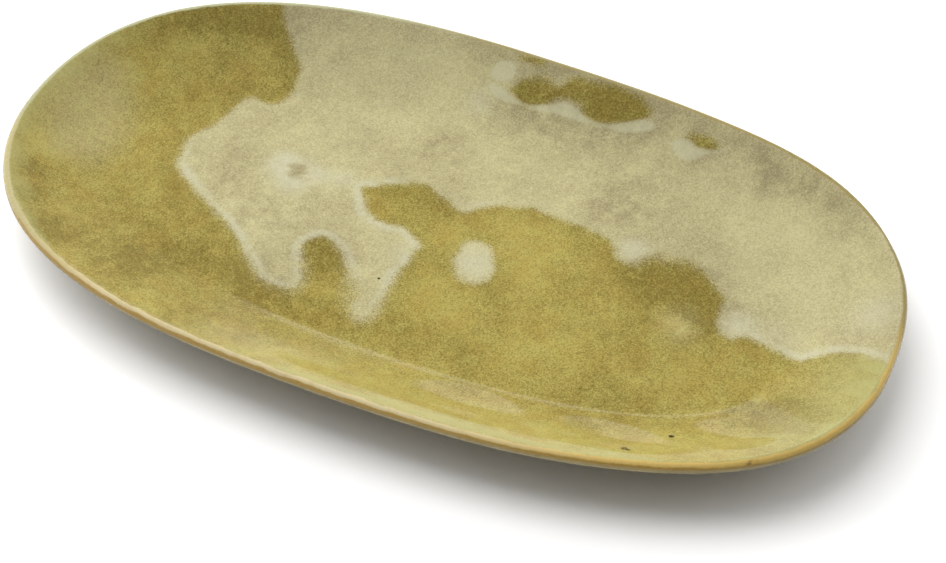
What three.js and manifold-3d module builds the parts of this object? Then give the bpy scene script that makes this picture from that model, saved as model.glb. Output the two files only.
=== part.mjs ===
// Oval stoneware serving plate: a clay body on an oval foot ring, with its coats of glaze.
// Millimetres, +Z up. It stands on the plane z = 0, centred on the origin, with its length along X.
import * as THREE from 'three';
import { mergeVertices } from 'three/addons/utils/BufferGeometryUtils.js';
import Module from 'manifold-3d';

const wasm = await Module();
wasm.setup();

// Plan of the rim
const LENGTH = 350;
const WIDTH = 198;
const OVAL_POWER = 2.5; // 2 is a true ellipse, more is squarer
const WOBBLE_DEPTH = 0.5; // how far each wave of the hand-cut edge strays
const WOBBLE_WAVES = [
  { count: 3, turn: -45 },
  { count: 5, turn: -80 },
  { count: 6, turn: -75 },
];

// Section of the clay
const HEIGHT = 27;
const FLOOR_THICKNESS = 5.5;
const FLOOR_INSET = 37; // from the rim's edge in to the flat floor
const RIM_THICKNESS = 3.8;
const RIM_SLOPE = 30; // degrees by which the wall falls away below the rim

// Foot ring
const FOOT_HEIGHT = 6;
const FOOT_INSET = 44; // from the rim's edge in to the foot
const FOOT_WIDTH = 7;
const FOOT_DRAFT = 1; // how far each side draws in towards the resting face
const FOOT_EDGE_RADIUS = 1;

// Coats
const GLAZE_COAT = 0.4;
const WASH_COAT = 0.15;
const WASH_EDGE = 20; // degrees above the rim's outermost point where the wash ends
const POUR_COAT = 0.3;
const POUR_SEAT = 0.05; // clearance under the second glaze
const POUR_MARGIN = 1.5; // how far below the rim wash the second glaze stops
const BARE_MARGIN = 4; // unglazed clay on each side of the foot

// Facets
const TURN_STEPS = 72;
const WALL_STEPS = 5;
const LIP_STEPS = 3;
const FOOT_EDGE_STEPS = 2;
const POUR_STEPS_PER_POINT = 3;
const DROP_STEPS = 20;
const MERGE_DISTANCE = 1e-4;

// Edge of the pale pour, as shares of the half length and half width. It runs off over the far rim.
const POUR_EDGE = [
  [-0.68, 1.06], [-0.61, 0.76], [-0.55, 0.63], [-0.53, 0.48], [-0.57, 0.41], [-0.62, 0.4], [-0.65, 0.2],
  [-0.68, 0.08], [-0.64, -0.05], [-0.45, -0.3], [-0.31, -0.48], [-0.23, -0.43], [-0.27, -0.26],
  [-0.25, -0.17], [-0.18, -0.25], [-0.11, -0.46], [-0.06, -0.47], [-0.06, -0.2], [-0.06, -0.04],
  [-0.16, 0.01], [-0.25, 0.11], [-0.15, 0.25], [-0.01, 0.2], [0.11, 0.32], [0.29, 0.32], [0.38, 0.22],
  [0.49, 0.31], [0.6, 0.18], [0.61, 0.05], [0.66, 0.02], [0.7, 0.06], [0.79, 0], [0.88, 0.06],
  [1.1, 0.05], [1.1, 0.8], [0.6, 1.2], [0, 1.25], [-0.4, 1.2],
];

// Round or oval spots: centre and radii as shares of the half length and half width, turn in degrees.
const ISLAND_LARGE = { along: 0.1, across: 0.86, radii: [0.17, 0.06], turn: 6 };
const ISLAND_SMALL = { along: 0.4, across: 0.83, radii: [0.037, 0.025], turn: 0 };
const DROP_MIDDLE = { along: 0.077, across: -0.045, radii: [0.042, 0.105], turn: 25 };
const DROP_RIGHT = { along: 0.54, across: -0.02, radii: [0.025, 0.062], turn: 25 };
const WASH_LEFT = { along: -0.857, across: 0, radii: [0.114, 0.25], turn: 0 };

// Derived sizes
const SECTION_RADIUS = WIDTH / 2; // the section is drawn across the width, then carried round the oval
const FLOOR_LEVEL = FOOT_HEIGHT + FLOOR_THICKNESS;
const LIP_RADIUS = RIM_THICKNESS / 2;
const FOOT_INNER_INSET = FOOT_INSET + FOOT_WIDTH;
const BASE_GLAZE_INSET = FOOT_INNER_INSET + BARE_MARGIN;
const CENTRE_INSET = Math.max(FLOOR_INSET, BASE_GLAZE_INSET); // inside this the rings close on the centre
const rimSlope = THREE.MathUtils.degToRad(RIM_SLOPE);

// A point of the section, by its inset from the rim's edge and its height.
function at(inset, height) {
  return new THREE.Vector2(SECTION_RADIUS - inset, height);
}

// Plan position of a section point carried to the angle t round the oval.
function planPoint(radius, t) {
  const inset = Math.min(SECTION_RADIUS - radius, CENTRE_INSET);
  const closing = Math.min(radius / (SECTION_RADIUS - CENTRE_INSET), 1);
  const cosine = Math.cos(t);
  const sine = Math.sin(t);
  const round = (Math.abs(cosine) ** OVAL_POWER + Math.abs(sine) ** OVAL_POWER) ** (-1 / OVAL_POWER);
  const point = new THREE.Vector2((LENGTH / 2 - inset) * cosine, (WIDTH / 2 - inset) * sine);
  point.multiplyScalar(round);
  let stray = 0;
  for (const wave of WOBBLE_WAVES) {
    stray += WOBBLE_DEPTH * Math.cos(wave.count * t - THREE.MathUtils.degToRad(wave.turn));
  }
  const fade = 1 - inset / CENTRE_INSET;
  point.setLength(point.length() + stray * fade);
  return point.multiplyScalar(closing);
}

// Splits every quad of a lathe by the slope of its profile, so that pieces that touch have the same facets.
function splitQuads(profile) {
  const rows = profile.length;
  const index = [];
  for (let turn = 0; turn < TURN_STEPS; turn += 1) {
    for (let row = 0; row < rows - 1; row += 1) {
      const a = turn * rows + row;
      const b = a + rows;
      const c = b + 1;
      const d = a + 1;
      const run = profile[row + 1].x - profile[row].x;
      const rise = profile[row + 1].y - profile[row].y;
      const outward = run === 0 ? rise > 0 : run > 0;
      index.push(...(outward ? [a, b, d, c, d, b] : [a, b, c, a, c, d]));
    }
  }
  return index;
}

// Carries a section profile round the oval as a closed solid.
function carryRound(profile) {
  const geometry = new THREE.LatheGeometry(profile, TURN_STEPS);
  geometry.setIndex(splitQuads(profile));
  geometry.rotateX(Math.PI / 2);
  const position = geometry.getAttribute('position');
  for (let i = 0; i < position.count; i += 1) {
    const x = position.getX(i);
    const y = position.getY(i);
    const plan = planPoint(Math.hypot(x, y), Math.atan2(y, x));
    position.setXY(i, plan.x, plan.y);
  }
  geometry.computeVertexNormals();
  return geometry;
}

// Samples a curve of the section, or the share of it between two ends, as points with their outward normals,
// which lie right of its direction.
function stretch(curve, steps, from = 0, to = 1) {
  const samples = [];
  for (let i = 0; i <= steps; i += 1) {
    const share = from + (to - from) * i / steps;
    const tangent = curve.getTangent(share);
    samples.push({ point: curve.getPoint(share), normal: new THREE.Vector2(tangent.y, -tangent.x) });
  }
  return samples;
}

// Joins stretches end to end, dropping the repeated end points.
function join(...stretches) {
  return stretches.flatMap((samples, i) => (i === 0 ? samples : samples.slice(1)));
}

// Profile of a coat on a stretch of the section, between two depths above the clay. A coat that reaches the
// axis starts and ends there, and any other closes on itself.
function coatProfile(samples, innerDepth, outerDepth) {
  const lifted = (depth) => samples.map(({ point, normal }) => point.clone().addScaledVector(normal, depth));
  const outerFace = lifted(outerDepth);
  const innerFace = lifted(innerDepth).reverse();
  if (outerFace.at(-1).x === 0) {
    return [...innerFace, ...outerFace];
  }
  if (outerFace[0].x === 0) {
    return [...outerFace, ...innerFace];
  }
  return [...outerFace, ...innerFace, outerFace[0].clone()];
}

// Section of the clay, from the centre of the underside out round the rim and back to the centre of the floor
const lipCentre = at(GLAZE_COAT + LIP_RADIUS, HEIGHT - WASH_COAT - LIP_RADIUS);
const lipArc = (from, to) => new THREE.EllipseCurve(
  lipCentre.x, lipCentre.y, LIP_RADIUS, LIP_RADIUS, from, to,
);
const lipStart = rimSlope - Math.PI / 2;
const lipEnd = rimSlope + Math.PI / 2;
const washStart = THREE.MathUtils.degToRad(WASH_EDGE);
const lowerLip = lipArc(lipStart, washStart);
const upperLip = lipArc(washStart, lipEnd);

const lipBelow = lowerLip.getPoint(0);
const lipInside = upperLip.getPoint(1);
const baseEdge = at(FOOT_INSET - BARE_MARGIN, FOOT_HEIGHT);
const floorEdge = at(FLOOR_INSET, FLOOR_LEVEL);

// Where the rim's slope, carried on straight, would meet a level.
function bendPoint(lip, level) {
  return new THREE.Vector2(lip.x - (lip.y - level) / Math.tan(rimSlope), level);
}
const underBend = bendPoint(lipBelow, FOOT_HEIGHT);
const wallBend = bendPoint(lipInside, FLOOR_LEVEL);

const base = stretch(new THREE.LineCurve(new THREE.Vector2(0, FOOT_HEIGHT), baseEdge), 1);
const underWall = stretch(new THREE.QuadraticBezierCurve(baseEdge, underBend, lipBelow), WALL_STEPS);
const outerLip = stretch(lowerLip, LIP_STEPS);
const topLip = stretch(upperLip, LIP_STEPS);
const wallCurve = new THREE.QuadraticBezierCurve(lipInside, wallBend, floorEdge);
// The curve leaves its start at twice this distance per unit, which turns the margin into a share of it.
const pourStart = POUR_MARGIN / (2 * lipInside.distanceTo(wallBend));
const wallTop = stretch(wallCurve, 1, 0, pourStart);
const wallBelow = stretch(wallCurve, WALL_STEPS, pourStart, 1);
const innerWall = join(wallTop, wallBelow);
const floor = stretch(new THREE.LineCurve(floorEdge, new THREE.Vector2(0, FLOOR_LEVEL)), 1);

// Clay body: floor, wall and rounded rim in one
function stonewareBody() {
  const section = join(base, underWall, outerLip, topLip, innerWall, floor);
  return carryRound(section.map(({ point }) => point));
}

// Foot ring: an oval coil with drawn-in sides and softened resting edges
function footRing() {
  const outer = at(FOOT_INSET, FOOT_HEIGHT);
  const inner = at(FOOT_INNER_INSET, FOOT_HEIGHT);
  const outerToe = outer.x - FOOT_DRAFT;
  const innerToe = inner.x + FOOT_DRAFT;
  const path = new THREE.Path();
  path.moveTo(innerToe + FOOT_EDGE_RADIUS, 0);
  path.lineTo(outerToe - FOOT_EDGE_RADIUS, 0);
  path.quadraticCurveTo(outerToe, 0, outerToe, FOOT_EDGE_RADIUS);
  path.lineTo(outer.x, outer.y);
  path.lineTo(inner.x, inner.y);
  path.lineTo(innerToe, FOOT_EDGE_RADIUS);
  path.quadraticCurveTo(innerToe, 0, innerToe + FOOT_EDGE_RADIUS, 0);
  return carryRound(path.getPoints(FOOT_EDGE_STEPS));
}

// Glaze on the floor and the inside of the wall
function insideGlaze() {
  return carryRound(coatProfile(join(innerWall, floor), 0, GLAZE_COAT));
}

// Glaze on the underside of the wall and the rim's lower edge
function outsideGlaze() {
  return carryRound(coatProfile(join(underWall, outerLip), 0, GLAZE_COAT));
}

// Glaze inside the foot ring
function baseGlaze() {
  const edge = at(BASE_GLAZE_INSET, FOOT_HEIGHT);
  const patch = stretch(new THREE.LineCurve(new THREE.Vector2(0, FOOT_HEIGHT), edge), 1);
  return carryRound(coatProfile(patch, 0, GLAZE_COAT));
}

// Iron wash over the top of the rim
function rimWash() {
  return carryRound(coatProfile(topLip, 0, WASH_COAT));
}

// A three.js solid as a manifold, for joining and cutting.
function toManifold(geometry) {
  const bare = geometry.clone();
  bare.deleteAttribute('normal');
  bare.deleteAttribute('uv');
  const merged = mergeVertices(bare, MERGE_DISTANCE);
  return new wasm.Manifold(new wasm.Mesh({
    numProp: 3,
    vertProperties: new Float32Array(merged.getAttribute('position').array),
    triVerts: new Uint32Array(merged.getIndex().array),
  }));
}

// A manifold as a three.js solid.
function toGeometry(manifold) {
  const mesh = manifold.getMesh();
  const geometry = new THREE.BufferGeometry();
  geometry.setAttribute('position', new THREE.BufferAttribute(new Float32Array(mesh.vertProperties), 3));
  geometry.setIndex(new THREE.BufferAttribute(new Uint32Array(mesh.triVerts), 1));
  geometry.computeVertexNormals();
  return geometry;
}

// Outline of an oval spot in plan.
function spotOutline(spot) {
  const [alongRadius, acrossRadius] = spot.radii;
  const curve = new THREE.EllipseCurve(
    spot.along * LENGTH / 2, spot.across * WIDTH / 2,
    alongRadius * LENGTH / 2, acrossRadius * WIDTH / 2,
    0, 2 * Math.PI, false, THREE.MathUtils.degToRad(spot.turn),
  );
  return curve.getPoints(DROP_STEPS).slice(0, -1);
}

// Smooth closed outline in plan through points given as shares of the half length and half width.
function freeOutline(shares) {
  const points = shares.map(([along, across]) => (
    new THREE.Vector3(along * LENGTH / 2, across * WIDTH / 2, 0)
  ));
  const curve = new THREE.CatmullRomCurve3(points, true);
  const samples = curve.getPoints(points.length * POUR_STEPS_PER_POINT).slice(0, -1);
  return samples.map(({ x, y }) => new THREE.Vector2(x, y));
}

// Second glaze lying on the inside glaze within an outline, with islands where the first glaze shows.
const pourDepth = GLAZE_COAT + POUR_SEAT;
const secondCoat = toManifold(carryRound(
  coatProfile(join(wallBelow, floor), pourDepth, pourDepth + POUR_COAT),
));
function secondGlaze(outline, islands = []) {
  const shape = new THREE.Shape(outline);
  shape.holes = islands.map((island) => new THREE.Path(island));
  const prism = new THREE.ExtrudeGeometry(shape, { depth: 2 * HEIGHT, bevelEnabled: false });
  return toGeometry(secondCoat.intersect(toManifold(prism)));
}

// Materials
const finish = (color, roughness) => new THREE.MeshStandardMaterial({ color, roughness, metalness: 0 });
const bareClay = finish(0xb79a78, 0.85);
const oliveGlaze = finish(0x9f9450, 0.18);
const greyGreenGlaze = finish(0x9b9168, 0.22);
const tanWash = finish(0xcdb87a, 0.35);
const paleGlaze = finish(0xc6bb8c, 0.2);
const thinPaleGlaze = finish(0xb0a56c, 0.2);

// Assembly
const plate = new THREE.Group();
function addPiece(name, geometry, material) {
  const piece = new THREE.Mesh(geometry, material);
  piece.name = name;
  plate.add(piece);
}

addPiece('stoneware_body', stonewareBody(), bareClay);
addPiece('foot_ring', footRing(), bareClay);
addPiece('inside_glaze', insideGlaze(), oliveGlaze);
addPiece('outside_glaze', outsideGlaze(), greyGreenGlaze);
addPiece('base_glaze', baseGlaze(), greyGreenGlaze);
addPiece('rim_wash', rimWash(), tanWash);
addPiece('pale_pour', secondGlaze(freeOutline(POUR_EDGE), [
  spotOutline(ISLAND_LARGE),
  spotOutline(ISLAND_SMALL),
]), paleGlaze);
addPiece('pale_drop_middle', secondGlaze(spotOutline(DROP_MIDDLE)), paleGlaze);
addPiece('pale_drop_right', secondGlaze(spotOutline(DROP_RIGHT)), thinPaleGlaze);
addPiece('pale_wash_left', secondGlaze(spotOutline(WASH_LEFT)), thinPaleGlaze);

// The wobble of the edge shifts the middle a little, so the plate is centred once it is whole.
const middle = new THREE.Box3().setFromObject(plate).getCenter(new THREE.Vector3());
plate.position.set(-middle.x, -middle.y, 0);

export default plate;
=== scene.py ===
"""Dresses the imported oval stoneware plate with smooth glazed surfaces, fired colours and soft studio light.

The plate lies in the shared frame: metres, +Z up, its length along X, standing on the plane z = 0. Each piece
is spun from its section, drawn out to the oval plan and given a procedural finish. The pale poured glaze has
fused with the olive glaze below it, so one surface carries both, guided by the distance to the pour's edge.
"""

from __future__ import annotations

import logging
import math
from dataclasses import dataclass, field, replace
from enum import Enum

import bpy
import numpy as np
from mathutils import Matrix, Vector

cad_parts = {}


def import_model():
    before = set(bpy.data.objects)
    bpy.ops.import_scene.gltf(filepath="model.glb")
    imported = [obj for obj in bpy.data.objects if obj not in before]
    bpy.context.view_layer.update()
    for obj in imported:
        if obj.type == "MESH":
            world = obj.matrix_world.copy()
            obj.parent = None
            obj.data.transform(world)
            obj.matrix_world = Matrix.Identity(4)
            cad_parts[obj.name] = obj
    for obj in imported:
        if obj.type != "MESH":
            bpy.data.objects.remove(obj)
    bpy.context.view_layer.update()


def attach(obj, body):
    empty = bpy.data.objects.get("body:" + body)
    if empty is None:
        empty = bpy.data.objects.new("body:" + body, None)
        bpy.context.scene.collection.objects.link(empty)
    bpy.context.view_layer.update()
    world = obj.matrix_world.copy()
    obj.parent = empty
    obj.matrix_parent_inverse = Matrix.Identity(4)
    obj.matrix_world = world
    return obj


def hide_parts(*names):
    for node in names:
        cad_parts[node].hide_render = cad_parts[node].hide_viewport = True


LOG = logging.getLogger("oval_plate")
BODY = "root"
MM = 0.001
CURVE_STEPS = 120

Point = tuple[float, float]
Colour = tuple[float, float, float]
Socket = bpy.types.NodeSocket


class Layer(Enum):
    """Names of the vertex layers that guide the glaze."""

    POUR = "pour_mm"
    SOFT = "soft_mm"
    HALO = "halo"
    BLOOM = "bloom"
    THIN = "thin_mm"
    MILK = "milk_mm"
    TONE = "tone"
    INSET = "inset_mm"
    LIP = "lip_degrees"
    WASH = "wash"


def srgb(red: int, green: int, blue: int) -> Colour:
    """Turns an eight-bit screen colour into the linear colour that a shader reads.

    Args:
        red: Red from 0 to 255.
        green: Green from 0 to 255.
        blue: Blue from 0 to 255.

    Returns:
        The linear colour.
    """
    def linear(value: int) -> float:
        """Turns one channel."""
        share = value / 255
        return share / 12.92 if share <= 0.04045 else ((share + 0.055) / 1.055) ** 2.4

    return linear(red), linear(green), linear(blue)


def smooth_step(low: float, high: float, value: np.ndarray) -> np.ndarray:
    """Eases values from 0 at low to 1 at high."""
    share = np.clip((value - low) / (high - low), 0, 1)
    return share * share * (3 - 2 * share)


def steps(count: int, start: float = 0.0, end: float = 1.0) -> list[float]:
    """Spaces values evenly from start to end, both included, with a count of steps between them."""
    return [start + (end - start) * index / count for index in range(count + 1)]


@dataclass(frozen=True)
class Wave:
    """One wave of the hand-cut edge: how often it goes round, and where it starts in degrees."""

    count: int
    turn: float


@dataclass(frozen=True)
class Swell:
    """A swell of the hand-cut edge: its place and reach round the plan, in degrees, and its depth."""

    turn: float
    reach: float
    depth: float

    def lift(self, angle: np.ndarray) -> np.ndarray:
        """Works out how far the edge stands out at angles round the plan, in radians."""
        away = np.abs((np.degrees(angle) - self.turn + 180) % 360 - 180)
        return self.depth * (1 - smooth_step(0, self.reach, away))


@dataclass(frozen=True)
class OvalPlan:
    """Plan of the plate: a squared oval with the stray of a hand-cut edge.

    A section is drawn across the width, and each point of it is carried round the oval at its inset from
    the rim.
    """

    length: float = 347.9 * MM
    width: float = 196.7 * MM
    power: float = 2.5
    wobble_depth: float = 0.5 * MM
    waves: tuple[Wave, ...] = (Wave(3, -45), Wave(5, -80), Wave(6, -75))
    swells: tuple[Swell, ...] = (
        Swell(51, 20, 1.9 * MM), Swell(90, 50, 0.7 * MM), Swell(136, 36, 2.3 * MM), Swell(181, 32, 2.2 * MM),
        Swell(229, 36, 1.0 * MM), Swell(244, 33, 1.0 * MM), Swell(283, 15, -0.45 * MM),
        Swell(321, 24, 1.6 * MM),
    )
    centre_inset: float = 55 * MM
    shift: Point = (0.49 * MM, 0.09 * MM)

    @property
    def section_radius(self) -> float:
        """Half the width, where the section's outermost point lies."""
        return self.width / 2

    def carry(self, radius: np.ndarray, angle: np.ndarray) -> tuple[np.ndarray, np.ndarray]:
        """Carries section points round the oval.

        Args:
            radius: Distance of each point from the section's axis.
            angle: Angle round the plate of each point, in radians.

        Returns:
            The points' places along and across the plate.
        """
        inset = np.minimum(self.section_radius - radius, self.centre_inset)
        closing = np.minimum(radius / (self.section_radius - self.centre_inset), 1)
        cosine, sine = np.cos(angle), np.sin(angle)
        spread = (np.abs(cosine) ** self.power + np.abs(sine) ** self.power) ** (-1 / self.power)
        along = (self.length / 2 - inset) * cosine * spread
        across = (self.width / 2 - inset) * sine * spread
        waves = sum(np.cos(wave.count * angle - math.radians(wave.turn)) for wave in self.waves)
        stray = self.wobble_depth * waves + sum(swell.lift(angle) for swell in self.swells)
        fade = 1 - inset / self.centre_inset
        scale = closing * (1 + stray * fade / np.hypot(along, across))
        return along * scale + self.shift[0], across * scale + self.shift[1]


@dataclass(frozen=True)
class Section:
    """Section of the clay from the rim to the middle, as insets from the rim's edge and heights."""

    height: float = 27 * MM
    floor_thickness: float = 5.5 * MM
    floor_inset: float = 37 * MM
    rim_thickness: float = 3.8 * MM
    rim_slope: float = math.radians(30)
    foot_height: float = 6 * MM
    foot_inset: float = 44 * MM
    foot_width: float = 7 * MM
    foot_draft: float = 1 * MM
    foot_edge: float = 1 * MM
    bare_margin: float = 4 * MM
    glaze: float = 0.4 * MM
    wash: float = 0.15 * MM
    wash_edge: float = math.radians(20)

    @property
    def floor_level(self) -> float:
        """Height of the clay floor."""
        return self.foot_height + self.floor_thickness

    @property
    def lip_middle(self) -> Point:
        """Middle of the rounded lip, as inset and height."""
        return self.glaze + self.rim_thickness / 2, self.height - self.wash - self.rim_thickness / 2

    def lip(self, angle: float, lift: float = 0.0) -> Point:
        """Finds a point on the lip or a coat of it, at an angle in radians up from the outermost point."""
        radius, middle = self.rim_thickness / 2 + lift, self.lip_middle
        return middle[0] - radius * math.cos(angle), middle[1] + radius * math.sin(angle)

    def inner_wall(self, share: float, lift: float = 0.0) -> Point:
        """Finds a point on the upper face or a coat of it, from the lip (0) to the floor's edge (1)."""
        start = self.lip(math.pi / 2 + self.rim_slope)
        return self._bend(start, (self.floor_inset, self.floor_level), share, lift)

    def under_wall(self, share: float, lift: float = 0.0) -> Point:
        """Finds a point on the lower face or a coat of it, from the lip (0) to the foot's margin (1)."""
        start = self.lip(self.rim_slope - math.pi / 2)
        return self._bend(start, (self.foot_inset - self.bare_margin, self.foot_height), share, -lift)

    def _bend(self, start: Point, end: Point, share: float, lift: float) -> Point:
        """Follows a face that leaves the lip at the rim's slope and runs out level."""
        corner = (start[0] + (start[1] - end[1]) / math.tan(self.rim_slope), end[1])
        return raised_curve((start, corner, end), share, lift)


def raised_curve(handles: tuple[Point, ...], share: float, lift: float) -> Point:
    """Follows a curve through its handles, raised square to itself.

    Args:
        handles: Three or four handles, whose ends lie on the curve.
        share: Share of the curve from its start.
        lift: Height above the curve.

    Returns:
        Inset and height.
    """
    row = list(handles)
    while len(row) > 2:
        row = [blend_points(one, two, share) for one, two in zip(row, row[1:])]
    inset, level = blend_points(row[0], row[1], share)
    run, fall = row[1][0] - row[0][0], row[0][1] - row[1][1]
    reach = math.hypot(run, fall)
    return inset + lift * fall / reach, level + lift * run / reach


def blend_points(one: Point, two: Point, share: float) -> Point:
    """Goes a share of the way from one point to another."""
    return one[0] + (two[0] - one[0]) * share, one[1] + (two[1] - one[1]) * share


def height_between(section: Section, handles: tuple[Point, ...], inset: np.ndarray) -> np.ndarray:
    """Measures how far a bend lies above the drawn upper face.

    Args:
        section: The drawn section.
        handles: Handles of the bend.
        inset: Insets from the rim.

    Returns:
        The height between the two.
    """
    shares = steps(CURVE_STEPS)
    drawn = np.array([section.inner_wall(share) for share in shares])
    bent = np.array([raised_curve(handles, share, 0) for share in shares])
    return np.interp(inset, bent[:, 0], bent[:, 1]) - np.interp(inset, drawn[:, 0], drawn[:, 1])


@dataclass(frozen=True)
class Dent:
    """A shallow hollow that a thumb left: its middle, its reaches along and across, and its depth."""

    middle: Point
    reach: Point
    depth: float

    def lift(self, spots: np.ndarray) -> np.ndarray:
        """Works out the dent's height, below 0, at places on the plate, one row each."""
        away = (spots - np.array(self.middle)) / np.array(self.reach)
        return -self.depth * (1 - smooth_step(0, 1, np.hypot(away[:, 0], away[:, 1])))


@dataclass(frozen=True)
class Sway:
    """A long low wave of the slab: its length, its direction in degrees and its height."""

    length: float
    turn: float
    height: float

    def lift(self, spots: np.ndarray) -> np.ndarray:
        """Works out the wave's height.

        Args:
            spots: Places on the plate, one row each.

        Returns:
            The height at each place.
        """
        way = math.radians(self.turn)
        along = spots[:, 0] * math.cos(way) + spots[:, 1] * math.sin(way)
        return self.height * np.sin(2 * math.pi * along / self.length + self.turn)


@dataclass(frozen=True)
class HandWork:
    """What hands left on the upper face: sways of the slab, dents, and a bend softer on the far side."""

    sways: tuple[Sway, ...] = (
        Sway(151 * MM, 12, 0.2 * MM), Sway(97 * MM, 71, 0.12 * MM), Sway(64 * MM, -38, 0.08 * MM),
        Sway(43 * MM, 25, 0.05 * MM),
    )
    dents: tuple[Dent, ...] = (
        Dent((45 * MM, -76 * MM), (26 * MM, 14 * MM), 0.9 * MM),
        Dent((98 * MM, -70 * MM), (26 * MM, 13 * MM), 0.8 * MM),
        Dent((138 * MM, -50 * MM), (22 * MM, 13 * MM), 0.8 * MM),
    )
    soft_inset: float = 46 * MM
    soft_reach: float = 16 * MM
    rim_reach: float = 22 * MM
    tight_inset: float = 38 * MM
    tight_slope: float = math.radians(24.5)
    near_turn: float = math.radians(-75)
    far_blend: Point = (-0.55, 0.35)
    rim_hold: Point = (4 * MM, 16 * MM)

    def lift(self, section: Section, spots: np.ndarray, inset: np.ndarray) -> np.ndarray:
        """Works out how far the upper face lies above its drawn section.

        Args:
            section: The drawn section.
            spots: Places on the plate, one row each.
            inset: Each place's inset from the rim.

        Returns:
            The lift of each place.
        """
        start, level = section.inner_wall(0), section.floor_level
        flank = (start[0] + self.rim_reach * math.cos(section.rim_slope),
                 start[1] - self.rim_reach * math.sin(section.rim_slope))
        soft = (start, flank, (self.soft_inset - self.soft_reach, level), (self.soft_inset, level))
        corner = (start[0] + (start[1] - level) / math.tan(self.tight_slope), level)
        tight = (start, corner, (self.tight_inset, level))
        turn = np.arctan2(spots[:, 1], spots[:, 0]) - self.near_turn
        far = smooth_step(*self.far_blend, -np.cos(turn))
        bend = far * height_between(section, soft, inset) + (1 - far) * height_between(section, tight, inset)
        sway = sum(mark.lift(spots) for mark in (*self.sways, *self.dents))
        return bend + smooth_step(*self.rim_hold, inset) * sway


@dataclass(frozen=True)
class Blot:
    """A patch of poured glaze: a closed outline through a few points, in millimetres on the plate."""

    points: tuple[Point, ...]
    steps: int = 6

    @staticmethod
    def oval(centre: Point, radii: Point, turn: float = 0.0, count: int = 12) -> Blot:
        """Draws an oval blot.

        Args:
            centre: Middle of the oval.
            radii: Half its length and half its width.
            turn: Turn of its length from +X, in degrees.
            count: Number of points round it.

        Returns:
            The blot.
        """
        cosine, sine = math.cos(math.radians(turn)), math.sin(math.radians(turn))
        points = []
        for index in range(count):
            angle = 2 * math.pi * index / count
            along, across = radii[0] * math.cos(angle), radii[1] * math.sin(angle)
            points.append((centre[0] + along * cosine - across * sine,
                           centre[1] + along * sine + across * cosine))
        return Blot(tuple(points))

    def outline(self) -> np.ndarray:
        """Samples the smooth closed outline through the points.

        Returns:
            Points of the outline, one row each.
        """
        knots = np.array(self.points)
        before, after, beyond = np.roll(knots, 1, 0), np.roll(knots, -1, 0), np.roll(knots, -2, 0)
        rows = []
        for step in range(self.steps):
            t = step / self.steps
            rows.append(0.5 * (
                2 * knots + (after - before) * t + (2 * before - 5 * knots + 4 * after - beyond) * t ** 2
                + (3 * knots - before - 3 * after + beyond) * t ** 3
            ))
        return np.stack(rows, 1).reshape(-1, 2)

    def distance(self, spots: np.ndarray) -> np.ndarray:
        """Measures how far spots lie inside the outline.

        Args:
            spots: Places on the plate, one row each.

        Returns:
            Distance to the outline, positive inside.
        """
        start = self.outline()
        run = np.roll(start, -1, 0) - start
        nearest = np.full(len(spots), np.inf)
        inside = np.zeros(len(spots), bool)
        for (x, y), (dx, dy) in zip(start, run):
            px, py = spots[:, 0] - x, spots[:, 1] - y
            share = np.clip((px * dx + py * dy) / (dx * dx + dy * dy), 0, 1)
            nearest = np.minimum(nearest, np.hypot(px - share * dx, py - share * dy))
            crosses = (py < 0) != (py < dy)
            if dy:
                inside ^= crosses & (px < dx * py / dy)
        return np.where(inside, nearest, -nearest)


@dataclass(frozen=True)
class Patch:
    """A soft round patch on the plate: its middle and reach in millimetres, and its strength."""

    middle: Point
    reach: float
    strength: float

    def weigh(self, spots: np.ndarray) -> np.ndarray:
        """Gives the strength at spots, one row each, which fades to 0 at the reach."""
        away = np.hypot(spots[:, 0] - self.middle[0], spots[:, 1] - self.middle[1])
        return self.strength * (1 - smooth_step(0, self.reach, away))


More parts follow.
